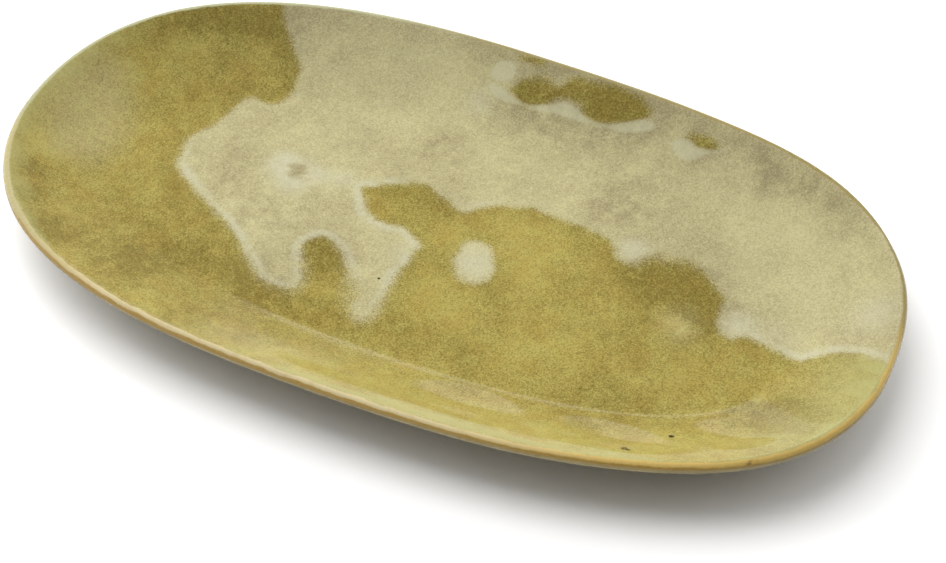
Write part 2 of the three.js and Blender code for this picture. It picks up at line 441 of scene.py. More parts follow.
@dataclass(frozen=True)
class PourPattern:
    """Where the pale glaze was poured, dripped and washed over the olive, in millimetres on the plate."""

    main: Blot = Blot((
        # Left edge, from the far rim to the tongues
        (-124, 106), (-114, 84), (-108, 74), (-100, 67.5), (-95.5, 62), (-93.5, 52), (-95, 43), (-101, 41),
        (-107, 40), (-109.5, 31.5), (-112, 20), (-116.5, 10), (-115, -2), (-110, -8), (-100, -15),
        (-77.5, -28),
        # Two tongues with a gulf between them
        (-66, -37), (-57, -44), (-51, -47), (-42, -46), (-40, -40), (-45, -31), (-48, -22), (-44, -17),
        (-37, -19), (-29, -26), (-21, -38), (-17, -46), (-12, -50), (-8, -45), (-8.5, -33), (-9.5, -24),
        (-9, -12),
        # Olive inlet
        (-9, -5), (-13, -2), (-20, 1), (-30, 0), (-35, 3), (-38, 8), (-43, 13.5), (-37.5, 17), (-32.5, 20.5),
        (-28, 24), (-22, 25.5), (-17.5, 24), (-12, 22), (-6.5, 19), (-2, 18), (5, 25),
        # Right half of the lower edge
        (20, 31), (36, 30), (50, 29), (56, 26), (60, 20), (67, 20), (72, 26), (86, 30), (97, 23), (104, 17),
        (105, 7), (111, 0), (118, 3), (124, 3), (131, 1), (140, -1), (153, 4), (168, 0), (192, -6),
        # Off the plate, round the far rim
        (192, 80), (110, 125), (0, 130), (-80, 125),
    ))
    drops: tuple[Blot, ...] = (Blot.oval((13.5, -5), (8, 11.5), 25),)
    islands: tuple[Blot, ...] = (
        Blot(((-13, 81), (-11.5, 85), (-7, 88.5), (-0.5, 89.5), (6, 89), (11.5, 93), (18, 94), (29, 94.5),
              (38, 93), (43.5, 90.5), (44, 86), (38, 82), (29, 79), (21.5, 80), (17, 83.5), (9, 84.5),
              (4, 81), (-2, 78), (-8, 79))),
        Blot.oval((68.5, 82.8), (7.3, 2.0), -5),
        Blot.oval((-9, 95), (5.5, 1.4), 3),
    )
    washes: tuple[Blot, ...] = (
        Blot(((-169, -10), (-171, 4.5), (-168, 22), (-158, 28), (-147, 16), (-140, -2), (-142, -18),
              (-156, -24))),
        Blot.oval((94, -2), (4.3, 6.2), 25),
    )
    milk: tuple[Blot, ...] = (
        Blot(((-22, 82), (-17, 78), (-9.5, 77.5), (2.5, 77.5), (13, 78), (24, 78), (36, 78.5), (46.5, 81.5),
              (48.5, 84.5), (43, 85.5), (36.5, 83), (28.5, 79.5), (19.5, 81), (11, 83.5), (4.5, 81), (-3, 79),
              (-10.5, 80), (-16.5, 82))),
        Blot.oval((-18, 88), (5, 4), 20),
        Blot(((57, 79.5), (62, 75.5), (67, 75.5), (72, 79), (79, 83), (75, 81.7), (66.7, 80.7),
              (61.5, 82.5))),
    )
    floor_tones: tuple[Patch, ...] = (
        Patch((-95, 0), 22, 0.2), Patch((-90, -32), 26, 0.15), Patch((-82, -50), 18, 0.3),
        Patch((-70, -12), 26, 0.25), Patch((-55, -52), 26, 0.4), Patch((-52, 4), 16, 0.2),
        Patch((-38, -24), 18, 0.65), Patch((-34, 10), 20, -0.15), Patch((-30, -53), 15, 0.3),
        Patch((-3, 4), 18, -0.4), Patch((5, -22), 26, -0.4), Patch((20, 12), 30, -0.4),
        Patch((21, -34), 16, -0.25), Patch((35, -3), 16, -0.2), Patch((52, -44), 26, -0.4),
        Patch((55, -20), 34, -0.1), Patch((76, 17), 16, 0.7), Patch((92, 16), 20, 1.0),
        Patch((94, -2), 9, -0.6), Patch((103, 8), 14, 0.8), Patch((120, -20), 30, -0.2),
    )
    pour_tones: tuple[Patch, ...] = (
        Patch((-75, 62), 16, -0.2), Patch((-70.5, 13), 4, 1.5), Patch((-68.5, 9), 4, 1.3),
        Patch((-50, 76), 40, -0.2), Patch((-28, 50), 14, 0.2), Patch((5, 86), 30, 0.4),
        Patch((35, 87), 26, 0.5), Patch((52, 46), 20, 0.35), Patch((70, 82), 14, 0.4),
        Patch((74, 88), 10, -0.4), Patch((88, 65), 26, -0.4), Patch((92, 82), 8, 0.4),
        Patch((99, 75), 10, 0.8), Patch((101, 47), 14, -0.3), Patch((112, 73.5), 9, 0.5),
        Patch((115, 60), 18, -0.25), Patch((124, 68.5), 9, 0.3), Patch((136, 61), 9, 0.2),
        Patch((140, 40), 60, -0.2), Patch((160, 25), 26, 0.1),
    )
    # Tones of the glaze on the walls; the row of strong patches along the far-left rim, from (-150, 56) to
    # (-108, 77), is painted shade under the far rim.
    wall_tones_and_rim_shade: tuple[Patch, ...] = (
        Patch((-160, 0), 34, -0.15), Patch((-157, -40), 9, 0.55), Patch((-156, -25), 18, -0.3),
        Patch((-152, 33), 18, -0.25), Patch((-150, 56), 11, 0.5), Patch((-147, -55), 10, 0.35),
        Patch((-142, 62), 11, 0.7), Patch((-134, 67), 11, 0.8), Patch((-134, -68), 13, 0.7),
        Patch((-125, 71), 11, 0.8), Patch((-122, -66), 18, 0.2), Patch((-116, 74.5), 11, 0.8),
        Patch((-113, 62), 12, -0.3), Patch((-110, 60), 40, 0.1), Patch((-108, 77), 10, 0.5),
        Patch((-107, -55), 24, 0.1), Patch((-98, -68), 22, 0.5), Patch((-95, -58), 12, 0.2),
        Patch((-60, -82), 22, 0.4), Patch((-36, -84), 18, 0.3), Patch((23, -62), 16, -0.4),
        Patch((130, -35), 16, 0.5), Patch((148, -34), 18, 0.9),
    )
    halos: tuple[Patch, ...] = (
        Patch((-105, -5), 22, 0.9), Patch((-60, -30), 62, 1.1), Patch((-40, 14), 22, 1.0),
        Patch((-22, -36), 10, -1.2), Patch((-15, -15), 40, 0.9), Patch((0, 22), 16, 0.5),
        Patch((118, 2), 14, 0.6), Patch((150, 0), 46, 1.0),
    )
    blooms: tuple[Patch, ...] = (
        Patch((-78, 12), 9, 0.6), Patch((-78, 17), 7, 0.5), Patch((-71, 10), 15, 1.2),
        Patch((-69.5, 11), 6, -1.8), Patch((-67, 2), 8, 0.5), Patch((-60, 13), 9, 0.6),
        Patch((-51, 15), 9, 0.6), Patch((-22, 74), 10, 0.5), Patch((-12, -12), 12, 0.5),
        Patch((13.5, -5), 15, 0.9), Patch((64, 27), 11, 1.0), Patch((113, 8), 12, 1.0),
        Patch((128, 6), 14, 0.4), Patch((160, 23), 18, 0.7),
    )
    soft_edges: tuple[Patch, ...] = (
        Patch((-50, -42), 26, 1.2), Patch((-25, -44), 42, 2.6), Patch((-22, -38), 10, 2.0),
        Patch((78, 24), 24, 2.0), Patch((94, -2), 16, 1.0),
    )
    crisp_edge: float = 1.7
    least_halo: float = 0.1
    middle: Point = (1.1, -0.06)

    def layers(self, spots: np.ndarray) -> dict[Layer, np.ndarray]:
        """Works out the layers that guide the glaze.

        Args:
            spots: Places on the plate, one row each.

        Returns:
            The value of each layer at each spot.
        """
        def deepest(blots: tuple[Blot, ...]) -> np.ndarray:
            """Measures how deep the spots lie in whichever blot is deepest there."""
            return np.max([blot.distance(spots) for blot in blots], axis=0)

        def total(patches: tuple[Patch, ...]) -> np.ndarray:
            """Adds up the strengths of patches at the spots."""
            return sum(patch.weigh(spots) for patch in patches)

        spots = spots - np.array(self.middle)
        return {
            Layer.POUR: np.minimum(deepest((self.main, *self.drops)), -deepest(self.islands)),
            Layer.SOFT: self.crisp_edge + total(self.soft_edges),
            Layer.HALO: np.clip(self.least_halo + total(self.halos), 0, 1),
            Layer.BLOOM: np.clip(total(self.blooms), 0, 1),
            Layer.THIN: deepest(self.washes),
            Layer.MILK: deepest(self.milk),
            Layer.TONE: total((*self.floor_tones, *self.pour_tones, *self.wall_tones_and_rim_shade)),
        }


class Ease(Enum):
    """How a value goes from one end of a range to the other, by Blender's names."""

    SMOOTH = "SMOOTHSTEP"
    STRAIGHT = "LINEAR"


@dataclass(frozen=True)
class Noise:
    """A noise from 0 to 1: the size of its blobs in millimetres, its finer octaves and their strength.

    The seed says which slice of it is taken, and the stretch how many times longer its blobs are along X.
    """

    size: float
    detail: float
    rough: float
    seed: float
    stretch: float = 1.0


@dataclass(frozen=True)
class Span:
    """A range from low to high that is carried to another, from start to end, and held there."""

    low: float
    high: float
    start: float = 0.0
    end: float = 1.0
    ease: Ease = Ease.SMOOTH


@dataclass(frozen=True)
class Ramp:
    """A span along a direction on the plate, with its low and high in millimetres."""

    way: Point
    span: Span


class NodeBoard:
    """Shader nodes, added by short calls that return sockets."""

    FIRST_COLOUR = 6
    SECOND_COLOUR = 7
    MIXED_COLOUR = 2

    def __init__(self, tree: bpy.types.NodeTree, coordinate: str) -> None:
        """Takes up a node tree, and Blender's name of the coordinate that places its patterns."""
        self.tree = tree
        self.place = tree.nodes.new("ShaderNodeTexCoord").outputs[coordinate]

    def _feed(self, socket: Socket, value: object) -> None:
        """Links a socket to another, or sets its value.

        Args:
            socket: The socket.
            value: A socket, a number, a vector or a colour.
        """
        if isinstance(value, Socket):
            self.tree.links.new(value, socket)
        elif hasattr(socket.default_value, "__len__") and len(socket.default_value) == 4:
            socket.default_value = (*value, 1.0)
        else:
            socket.default_value = value

    def _pair(self, kind: str, operation: str, first: object, second: object) -> bpy.types.Node:
        """Adds an operation on two values.

        Args:
            kind: Blender's name of the node.
            operation: Blender's name of the operation.
            first: First value or socket.
            second: Second value or socket.

        Returns:
            The node.
        """
        node = self.tree.nodes.new(kind)
        node.operation = operation
        self._feed(node.inputs[0], first)
        self._feed(node.inputs[1], second)
        return node

    def math(self, operation: str, first: object, second: object) -> Socket:
        """Works on two numbers."""
        return self._pair("ShaderNodeMath", operation, first, second).outputs[0]

    def add(self, first: object, second: object) -> Socket:
        """Adds two numbers."""
        return self.math("ADD", first, second)

    def times(self, first: object, second: object) -> Socket:
        """Multiplies two numbers."""
        return self.math("MULTIPLY", first, second)

    def vector(self, operation: str, first: object, second: object) -> bpy.types.Node:
        """Works on two vectors, and gives the node."""
        return self._pair("ShaderNodeVectorMath", operation, first, second)

    def along(self, way: Vector) -> Socket:
        """Measures the place along a direction."""
        return self.vector("DOT_PRODUCT", self.place, way).outputs["Value"]

    def away(self, spot: Point) -> Socket:
        """Measures the distance from an upright line through a spot, given and found in millimetres."""
        place = self.vector("MULTIPLY", self.place, (1 / MM, 1 / MM, 0)).outputs[0]
        return self.vector("DISTANCE", place, (*spot, 0)).outputs["Value"]

    def noise(self, noise: Noise) -> Socket:
        """Adds a noise.

        Args:
            noise: The noise.

        Returns:
            Its value.
        """
        node = self.tree.nodes.new("ShaderNodeTexNoise")
        node.noise_dimensions = "4D"
        place = self.vector("MULTIPLY", self.place, (1 / noise.stretch, 1, 1)).outputs[0]
        entries = {"Vector": place, "W": noise.seed, "Scale": 1 / (noise.size * MM)}
        for name, entry in {**entries, "Detail": noise.detail, "Roughness": noise.rough}.items():
            self._feed(node.inputs[name], entry)
        return node.outputs["Fac"]

    def remap(self, value: Socket, span: Span) -> Socket:
        """Carries a value through a span.

        Args:
            value: The value.
            span: The span.

        Returns:
            The result.
        """
        node = self.tree.nodes.new("ShaderNodeMapRange")
        node.interpolation_type = span.ease.value
        for socket, entry in zip(node.inputs, (value, span.low, span.high, span.start, span.end)):
            self._feed(socket, entry)
        return node.outputs["Result"]

    def mix(self, share: object, first: object, second: object, blend: str = "MIX") -> Socket:
        """Mixes two colours.

        Args:
            share: How much of the second colour shows.
            first: First colour or socket.
            second: Second colour or socket.
            blend: Blender's name of the blend.

        Returns:
            The mixed colour.
        """
        node = self.tree.nodes.new("ShaderNodeMix")
        node.data_type = "RGBA"
        node.blend_type = blend
        self._feed(node.inputs["Factor"], share)
        self._feed(node.inputs[self.FIRST_COLOUR], first)
        self._feed(node.inputs[self.SECOND_COLOUR], second)
        return node.outputs[self.MIXED_COLOUR]

    def shade(self, colour: Socket, level: Socket) -> Socket:
        """Multiplies a colour by a level.

        Args:
            colour: The colour.
            level: The level.

        Returns:
            The shaded colour.
        """
        grey = self.tree.nodes.new("ShaderNodeCombineColor")
        for socket in grey.inputs:
            self._feed(socket, level)
        return self.mix(1.0, colour, grey.outputs[0], "MULTIPLY")


class GlazeBoard(NodeBoard):
    """The nodes of a material on the object's own coordinates."""

    def __init__(self, name: str) -> None:
        """Starts a material with a principled shader.

        Args:
            name: The material's name.
        """
        self.material = bpy.data.materials.new(name)
        self.material.use_nodes = True
        super().__init__(self.material.node_tree, "Object")
        self.shader = self.tree.nodes["Principled BSDF"]

    def layer(self, name: Layer) -> Socket:
        """Reads a vertex layer.

        Args:
            name: The layer.

        Returns:
            The layer's value.
        """
        node = self.tree.nodes.new("ShaderNodeAttribute")
        node.attribute_name = name.value
        return node.outputs["Fac"]

    def ramp(self, ramp: Ramp) -> Socket:
        """Works out the level of a ramp."""
        span = replace(ramp.span, low=ramp.span.low * MM, high=ramp.span.high * MM)
        return self.remap(self.along(Vector((*ramp.way, 0))), span)

    def bump(self, height: Socket, depth: float) -> None:
        """Roughens the surface by a height.

        Args:
            height: Height from 0 to 1.
            depth: Depth of the relief, in metres.
        """
        node = self.tree.nodes.new("ShaderNodeBump")
        node.inputs["Distance"].default_value = depth
        self._feed(node.inputs["Height"], height)
        self.tree.links.new(node.outputs["Normal"], self.shader.inputs["Normal"])

    def finish(self, colour: Socket, roughness: object, shine: float) -> bpy.types.Material:
        """Sets the shader's main inputs.

        Args:
            colour: Base colour.
            roughness: Roughness or socket.
            shine: Specular level.

        Returns:
            The finished material.
        """
        self._feed(self.shader.inputs["Base Color"], colour)
        self._feed(self.shader.inputs["Roughness"], roughness)
        self._feed(self.shader.inputs["Specular IOR Level"], shine)
        return self.material


@dataclass(frozen=True)
class Fleck:
    """A dark iron fleck burnt through the glaze: its place and reach in millimetres."""

    place: Point
    reach: float

    @property
    def cover(self) -> Span:
        """How far the fleck covers the glaze, by the distance from its middle."""
        return Span(self.reach, 0.6 * self.reach, 0, 0.95)

    @property
    def break_up(self) -> Noise:
        """The noise that breaks the fleck up, which its reach seeds."""
        return Noise(0.9, 1, 0.5, self.reach)


@dataclass(frozen=True)
class Grain:
    """The noises that speckle a glaze, and the ragged distance into the pour."""

    fine: Socket
    mottle: Socket
    cloud: Socket
    edge: Socket


@dataclass(frozen=True)
class Speckle:
    """How specks gather: how mottle breaks the tone, how density shifts the grain, and the cover it gives."""

    mottle_share: float
    tone_break: Span
    density_shift: Span
    grain_cover: Span
    cloud_share: float = 0.7
    tone_share: float = 0.7

    def cover(self, board: GlazeBoard, grain: Grain, thicker: Socket) -> Socket:
        """Works out how far specks cover the glaze.

        Args:
            board: The material's nodes.
            grain: The noises.
            thicker: Density that the place adds.

        Returns:
            The cover.
        """
        tone = board.times(board.layer(Layer.TONE), board.remap(grain.mottle, self.tone_break))
        dense = board.add(board.times(grain.mottle, self.mottle_share), thicker)
        dense = board.add(dense, board.times(grain.cloud, self.cloud_share))
        dense = board.add(dense, board.times(tone, self.tone_share))
        specks = board.add(grain.fine, board.remap(dense, self.density_shift))
        return board.remap(specks, self.grain_cover)


@dataclass(frozen=True)
class WellGlaze:
    """Olive glaze with the pale pour fused into it. Distances to edges and to the rim are in millimetres."""

    olive: Colour = srgb(169, 158, 86)
    ochre: Colour = srgb(164, 146, 76)
    olive_speck: Colour = srgb(98, 84, 30)
    pale: Colour = srgb(181, 174, 130)
    pale_speck: Colour = srgb(131, 121, 89)
    halo: Colour = srgb(183, 179, 149)
    milk: Colour = srgb(179, 176, 146)
    celadon: Colour = srgb(158, 155, 100)
    sage: Colour = srgb(171, 167, 113)
    iron: Colour = srgb(44, 30, 16)

    stipple: Noise = Noise(0.42, 1, 0.5, 9)
    fine: Noise = Noise(0.58, 2, 0.75, 4)
    ripple: Noise = Noise(1.8, 2, 0.5, 10)
    mottle: Noise = Noise(5, 3, 0.55, 2)
    streaks: Noise = Noise(7, 3, 0.6, 6, 4)
    ragged: Noise = Noise(8, 2, 0.5, 8)
    drift: Noise = Noise(9, 3, 0.6, 7)
    cloud: Noise = Noise(24, 2, 0.5, 0)

    olive_specks: Speckle = Speckle(
        mottle_share=0.6,
        tone_break=Span(0.3, 0.7, 0.45, 1.285, Ease.STRAIGHT),
        density_shift=Span(0.35, 0.95, -0.12, 0.12, Ease.STRAIGHT),
        grain_cover=Span(0.32, 0.7, 0.05, 0.95, Ease.STRAIGHT),
    )
    pale_specks: Speckle = Speckle(
        mottle_share=0.45,
        tone_break=Span(0.3, 0.7, 0.1, 1.53, Ease.STRAIGHT),
        density_shift=Span(0.33, 0.93, -0.16, 0.16, Ease.STRAIGHT),
        grain_cover=Span(0.3, 0.72, 0, 0.95, Ease.STRAIGHT),
    )

    ragged_edge: Span = Span(0, 1, -2.2, 2.2, Ease.STRAIGHT)
    stippled_edge: Span = Span(0.25, 0.75, -1.1, 1.1, Ease.STRAIGHT)
    pour_cover: Span = Span(-1.1, 1.1)
    thin_cover: Span = Span(-10, 9, 0, 0.42)
    milk_ragged: float = 0.4
    milk_cover: Span = Span(-0.8, 1, 0, 0.55)
    fleck_break: Span = Span(0.3, 0.7, 0.4, 1.3, Ease.STRAIGHT)

    pour_shore: Span = Span(-14, -1, -0.02, 0.08)
    ochre_cover: Span = Span(0.35, 0.7)
    sage_end: Ramp = Ramp((1, 0), Span(130, 165, 0, 0.6))
    clear_side: Ramp = Ramp((0.6, -0.8), Span(10, 60))
    clear_wall: Span = Span(34, 10, 0, 0.35)

    celadon_side: Ramp = Ramp((0, 1), Span(55, 25))
    celadon_reaches: tuple[Ramp, ...] = (
        Ramp((1, 0), Span(-45, 45, 3, 14)), Ramp((1, 0), Span(75, 140, 0, -11)),
        Ramp((1, 0), Span(-115, -155, 0, 8)), Ramp((1, 0.5), Span(135, 160, 0, 10)),
    )
    celadon_streak: Span = Span(0.35, 0.65, -1, 1, Ease.STRAIGHT)
    celadon_streaked: Ramp = Ramp((1, 0), Span(-120, -40, 0.2, 0.6))
    celadon_cover: Span = Span(1.1, 0.1, 0, 0.6)

    # Painted shade: the pale pour's specks gather towards the rim, which darkens it under the far rim.
    shaded_rim_specks: Span = Span(14, 4, 0, 0.2)
    line_start: Span = Span(-0.5, 1)
    line_end: Span = Span(6, 2)
    line_break: Span = Span(0.3, 0.55, 0.35, 1)
    cleared: Span = Span(0, 1, 1, 0.55)

    dullness: Ramp = Ramp((1, 0), Span(-75, -35, 0.5, 0.09))
    uneven_dullness: Span = Span(0.2, 0.8, -0.02, 0.03)
    shine: float = 0.1
    relief: float = 0.004 * MM
    flecks: tuple[Fleck, ...] = (
        Fleck((-14, -27.3), 0.7), Fleck((104.5, -75), 1.5), Fleck((106, -75.5), 1.0),
        Fleck((115.5, -59), 1.3),
    )

    def material(self) -> bpy.types.Material:
        """Builds the fused glaze.

        Returns:
            The material.
        """
        board = GlazeBoard("fused_well_glaze")
        colour = self.colour(board)
        board.bump(board.noise(self.ripple), self.relief)
        uneven = board.remap(board.noise(self.mottle), self.uneven_dullness)
        return board.finish(colour, board.add(board.ramp(self.dullness), uneven), self.shine)

    def colour(self, board: GlazeBoard) -> Socket:
        """Mixes the glaze's colour.

        Args:
            board: The material's nodes.

        Returns:
            The colour.
        """
        ragged = board.remap(board.noise(self.ragged), self.ragged_edge)
        edge = board.add(board.layer(Layer.POUR), ragged)
        grain = Grain(board.noise(self.fine), board.noise(self.mottle), board.noise(self.cloud), edge)
        olive, pale = self._wall(board, self._olive(board, grain)), self._pale(board, grain)
        stipple = board.remap(board.noise(self.stipple), self.stippled_edge)
        poured = board.add(board.math("DIVIDE", edge, board.layer(Layer.SOFT)), stipple)
        colour = board.mix(board.remap(poured, self.pour_cover), olive, pale)
        washed = board.add(board.layer(Layer.THIN), ragged)
        colour = board.mix(board.remap(washed, self.thin_cover), colour, pale)
        milky = board.add(board.layer(Layer.MILK), board.times(ragged, self.milk_ragged))
        colour = board.mix(board.remap(milky, self.milk_cover), colour, self.milk)
        for fleck in self.flecks:
            broken = board.remap(board.noise(fleck.break_up), self.fleck_break)
            burnt = board.times(board.remap(board.away(fleck.place), fleck.cover), broken)
            colour = board.mix(burnt, colour, self.iron)
        return colour

    def _wall(self, board: GlazeBoard, olive: Socket) -> Socket:
        """Lets the olive run out to streaky celadon up the near wall and the ends.

        Args:
            board: The material's nodes.
            olive: The olive glaze.

        Returns:
            The colour.
        """
        first, *others = self.celadon_reaches
        reach = board.ramp(first)
        for ramp in others:
            reach = board.add(reach, board.ramp(ramp))
        streak = board.remap(board.noise(self.streaks), self.celadon_streak)
        streak = board.times(streak, board.ramp(self.celadon_streaked))
        inset = board.add(board.math("DIVIDE", board.layer(Layer.INSET), reach), streak)
        cover = board.times(board.ramp(self.celadon_side), board.remap(inset, self.celadon_cover))
        return board.mix(cover, olive, self.celadon)

    def _olive(self, board: GlazeBoard, grain: Grain) -> Socket:
        """Speckles the olive glaze, more densely beside the pour.

        Args:
            board: The material's nodes.
            grain: The noises.

        Returns:
            The colour.
        """
        cover = self.olive_specks.cover(board, grain, board.remap(grain.edge, self.pour_shore))
        ochre = board.remap(board.noise(self.drift), self.ochre_cover)
        base = board.mix(board.ramp(self.sage_end), board.mix(ochre, self.olive, self.ochre), self.sage)
        clear = board.remap(board.layer(Layer.INSET), self.clear_wall)
        clear = board.times(clear, board.ramp(self.clear_side))
        return board.mix(board.times(cover, board.math("SUBTRACT", 1.0, clear)), base, self.olive_speck)

    def _pale(self, board: GlazeBoard, grain: Grain) -> Socket:
        """Speckles the pale glaze, with a clearer line inside its edge and painted shade towards the rim.

        Args:
            board: The material's nodes.
            grain: The noises.

        Returns:
            The colour.
        """
        # Denser specks towards the rim are painted shade.
        cover = self.pale_specks.cover(board, grain, board.remap(board.layer(Layer.INSET), self.shaded_rim_specks))
        line = board.times(board.remap(grain.edge, self.line_start), board.remap(grain.edge, self.line_end))
        line = board.times(line, board.layer(Layer.HALO))
        line = board.times(line, board.remap(grain.mottle, self.line_break))
        clear = board.math("MAXIMUM", line, board.layer(Layer.BLOOM))
        base = board.mix(clear, self.pale, self.halo)
        return board.mix(board.times(cover, board.remap(clear, self.cleared)), base, self.pale_speck)


@dataclass(frozen=True)
class OutsideGlaze:
    """Grey green glaze of the outside and the base, stained by the wash below the rim and darkened away from
    it as painted shade under the plate.
    """

    colour: Colour = srgb(150, 136, 94)
    dark: Colour = srgb(126, 112, 70)
    pale: Colour = srgb(172, 160, 116)
    rust: Colour = srgb(154, 127, 68)
    cloud: Noise = Noise(18, 3, 0.55, 1)
    cloud_cover: Span = Span(0.3, 0.7)
    evenness: float = 0.5
    grain: Noise = Noise(1.2, 3, 0.7, 3)
    grain_level: Span = Span(0.25, 0.75, 0.85, 1.1, Ease.STRAIGHT)
    # Painted shade: the glaze darkens away from the rim, under the plate, which also deepens the plate's
    # shadow on the floor.
    underside_shade: Span = Span(2, 7, 1, 0.65)
    ripple: Noise = Noise(1.6, 2, 0.5, 5)
    roughness: Span = Span(0, 1, 0.14, 0.26, Ease.STRAIGHT)
    shine: float = 0.25
    relief: float = 0.015 * MM

    def material(self) -> bpy.types.Material:
        """Builds the glaze.

        Returns:
            The material.
        """
        board = GlazeBoard("grey_green_glaze")
        cloud = board.noise(self.cloud)
        colour = board.mix(board.remap(cloud, self.cloud_cover), self.dark, self.pale)
        colour = board.mix(self.evenness, colour, self.colour)
        colour = board.shade(colour, board.remap(board.noise(self.grain), self.grain_level))
        # Painted shade under the plate.
        colour = board.shade(colour, board.remap(board.layer(Layer.INSET), self.underside_shade))
        colour = board.mix(board.layer(Layer.WASH), colour, self.rust)
        board.bump(board.noise(self.ripple), self.relief)
        return board.finish(colour, board.remap(cloud, self.roughness), self.shine)


@dataclass(frozen=True)
class IronWash:
    """Iron wash where the glaze breaks over the rim: cream on top, tan at the right end, rust below, with a
    painted highlight along the near side and painted shade over the far side.

    Edges are angles round the lip in degrees, up from the rim's outermost point, and drops lower them.
    """

    cream: Colour = srgb(161, 160, 125)
    # bright is a painted highlight: the lip's cream turns lighter on the near side, where light catches its
    # crest.
    bright: Colour = srgb(191, 176, 133)
    corner: Colour = srgb(178, 160, 104)
    tan: Colour = srgb(190, 162, 90)
    rust: Colour = srgb(157, 129, 66)
    # dark and back are painted shade: the far side of the lip is darker where it gets less light.
    dark: Colour = srgb(132, 119, 68)
    back: Colour = srgb(136, 122, 72)
    burn: Colour = srgb(106, 78, 38)

    # Painted highlight: the lip lightens towards the near side.
    near_highlight_side: Ramp = Ramp((0.15, -0.99), Span(40, 75))
    corner_side: Ramp = Ramp((-0.7, -0.7), Span(128, 140, 0, 0.5))
    tan_end: Ramp = Ramp((1, 0), Span(30, 110))
    # Painted shade: the lip darkens towards the far side.
    far_shade_side: Ramp = Ramp((0.35, 0.94), Span(60, 85, 0, 0.9))
    streaks: Noise = Noise(4, 3, 0.6, 2)
    rust_streak: Span = Span(0.5, 0.8, 0, 0.4)
    nick: Point = (148, -66)
    nick_cover: Span = Span(3.4, 1.6)
    nick_break: Span = Span(0.45, 0.6)

    stray: Noise = Noise(7, 3, 0.6, 5)
    stray_depth: Span = Span(0.25, 0.75, -12, 12, Ease.STRAIGHT)
    inner_edge: Span = Span(100, 116)
    right_drop: Ramp = Ramp((1, 0), Span(115, 165, 0, 26))
    near_drop: Ramp = Ramp((0, 1), Span(-45, -85, 0, 14))
    left_drop: Ramp = Ramp((1, 0), Span(-110, -150, 0, 6))
    rust_edge: Span = Span(52, 34)
    rust_drop: Ramp = Ramp((-0.94, 0.34), Span(100, 130, 0, 55))
    # Painted shade: on the far side the darker colour rises higher up the lip.
    far_shade_reach: Ramp = Ramp((0.6, 0.8), Span(108, 130))
    far_shade_rise: float = 55

    ripple: Noise = Noise(1.2, 2, 0.5, 3)
    roughness: Span = Span(0, 1, 0.2, 0.35, Ease.STRAIGHT)
    shine: float = 0.3
    relief: float = 0.01 * MM

    def material(self) -> bpy.types.Material:
        """Builds the wash.

        Returns:
            The material.
        """
        board = GlazeBoard("iron_wash")
        streak = board.noise(self.streaks)
        # Painted highlight along the near side of the lip.
        top = board.mix(board.ramp(self.near_highlight_side), self.cream, self.bright)
        top = board.mix(board.ramp(self.corner_side), top, self.corner)
        top = board.mix(board.ramp(self.tan_end), top, self.tan)
        top = board.mix(board.remap(streak, self.rust_streak), top, self.rust)
        # Painted shade over the far side of the lip.
        top = board.mix(board.ramp(self.far_shade_side), top, self.back)
        nicked = board.remap(board.away(self.nick), self.nick_cover)
        top = board.mix(board.times(nicked, board.remap(streak, self.nick_break)), top, self.burn)

        lip = board.add(board.layer(Layer.LIP), board.remap(board.noise(self.stray), self.stray_depth))
        lip = board.add(lip, board.ramp(self.right_drop))
        # Painted shade: on the far side the dark colour covers more of the lip.
        far = board.ramp(self.far_shade_reach)
        height = board.math("SUBTRACT", lip, board.times(far, self.far_shade_rise))
        height = board.add(height, board.ramp(self.rust_drop))
        below = board.mix(far, self.rust, self.dark)
        wash = board.mix(board.remap(height, self.rust_edge), top, below)
        inside = board.add(board.add(lip, board.ramp(self.near_drop)), board.ramp(self.left_drop))
        colour = board.mix(board.remap(inside, self.inner_edge), wash, WellGlaze().colour(board))
        board.bump(board.noise(self.ripple), self.relief)
        return board.finish(colour, board.remap(streak, self.roughness), self.shine)


@dataclass(frozen=True)
class BareClay:
    """Unglazed fired stoneware of the foot and its margins."""

    clay: Colour = srgb(190, 164, 128)
    toasted: Colour = srgb(160, 122, 84)
    grog: Colour = srgb(110, 82, 58)
    flash: Noise = Noise(26, 3, 0.55, 1)
    flash_cover: Span = Span(0.35, 0.7)
    sand: Noise = Noise(0.9, 3, 0.7, 2)
    grog_cover: Span = Span(0.6, 0.72, 0, 0.75)
    roughness: float = 0.82
    shine: float = 0.5
    relief: float = 0.08 * MM

    def material(self) -> bpy.types.Material:
        """Builds the clay.

        Returns:
            The material.
        """
        board = GlazeBoard("bare_stoneware")
        sand = board.noise(self.sand)
        colour = board.mix(board.remap(board.noise(self.flash), self.flash_cover), self.clay, self.toasted)
        colour = board.mix(board.remap(sand, self.grog_cover), colour, self.grog)
        board.bump(sand, self.relief)
        return board.finish(colour, self.roughness, self.shine)


def read_spots(piece: bpy.types.Object) -> np.ndarray:
    """Reads a piece's vertices.

    Args:
        piece: The piece.

    Returns:
        The vertices, one row each.
    """
    spots = np.empty(len(piece.data.vertices) * 3)
    piece.data.vertices.foreach_get("co", spots)
    return spots.reshape(-1, 3)


def write_spots(piece: bpy.types.Object, spots: np.ndarray) -> None:
    """Writes a piece's vertices back, one row each."""
    piece.data.vertices.foreach_set("co", spots.ravel())
    piece.data.update()


def write_layer(piece: bpy.types.Object, name: Layer, values: np.ndarray) -> None:
    """Writes a vertex layer that the finish reads, with one value for each vertex."""
    layer = piece.data.attributes.new(name.value, "FLOAT", "POINT")
    layer.data.foreach_set("value", values.astype(np.float32))


def read_layer(piece: bpy.types.Object, name: Layer) -> np.ndarray:
    """Reads a vertex layer back.

    Args:
        piece: The piece.
        name: The layer.

    Returns:
        One value for each vertex.
    """
    values = np.empty(len(piece.data.vertices), np.float32)
    piece.data.attributes[name.value].data.foreach_get("value", values)
    return values.astype(float)


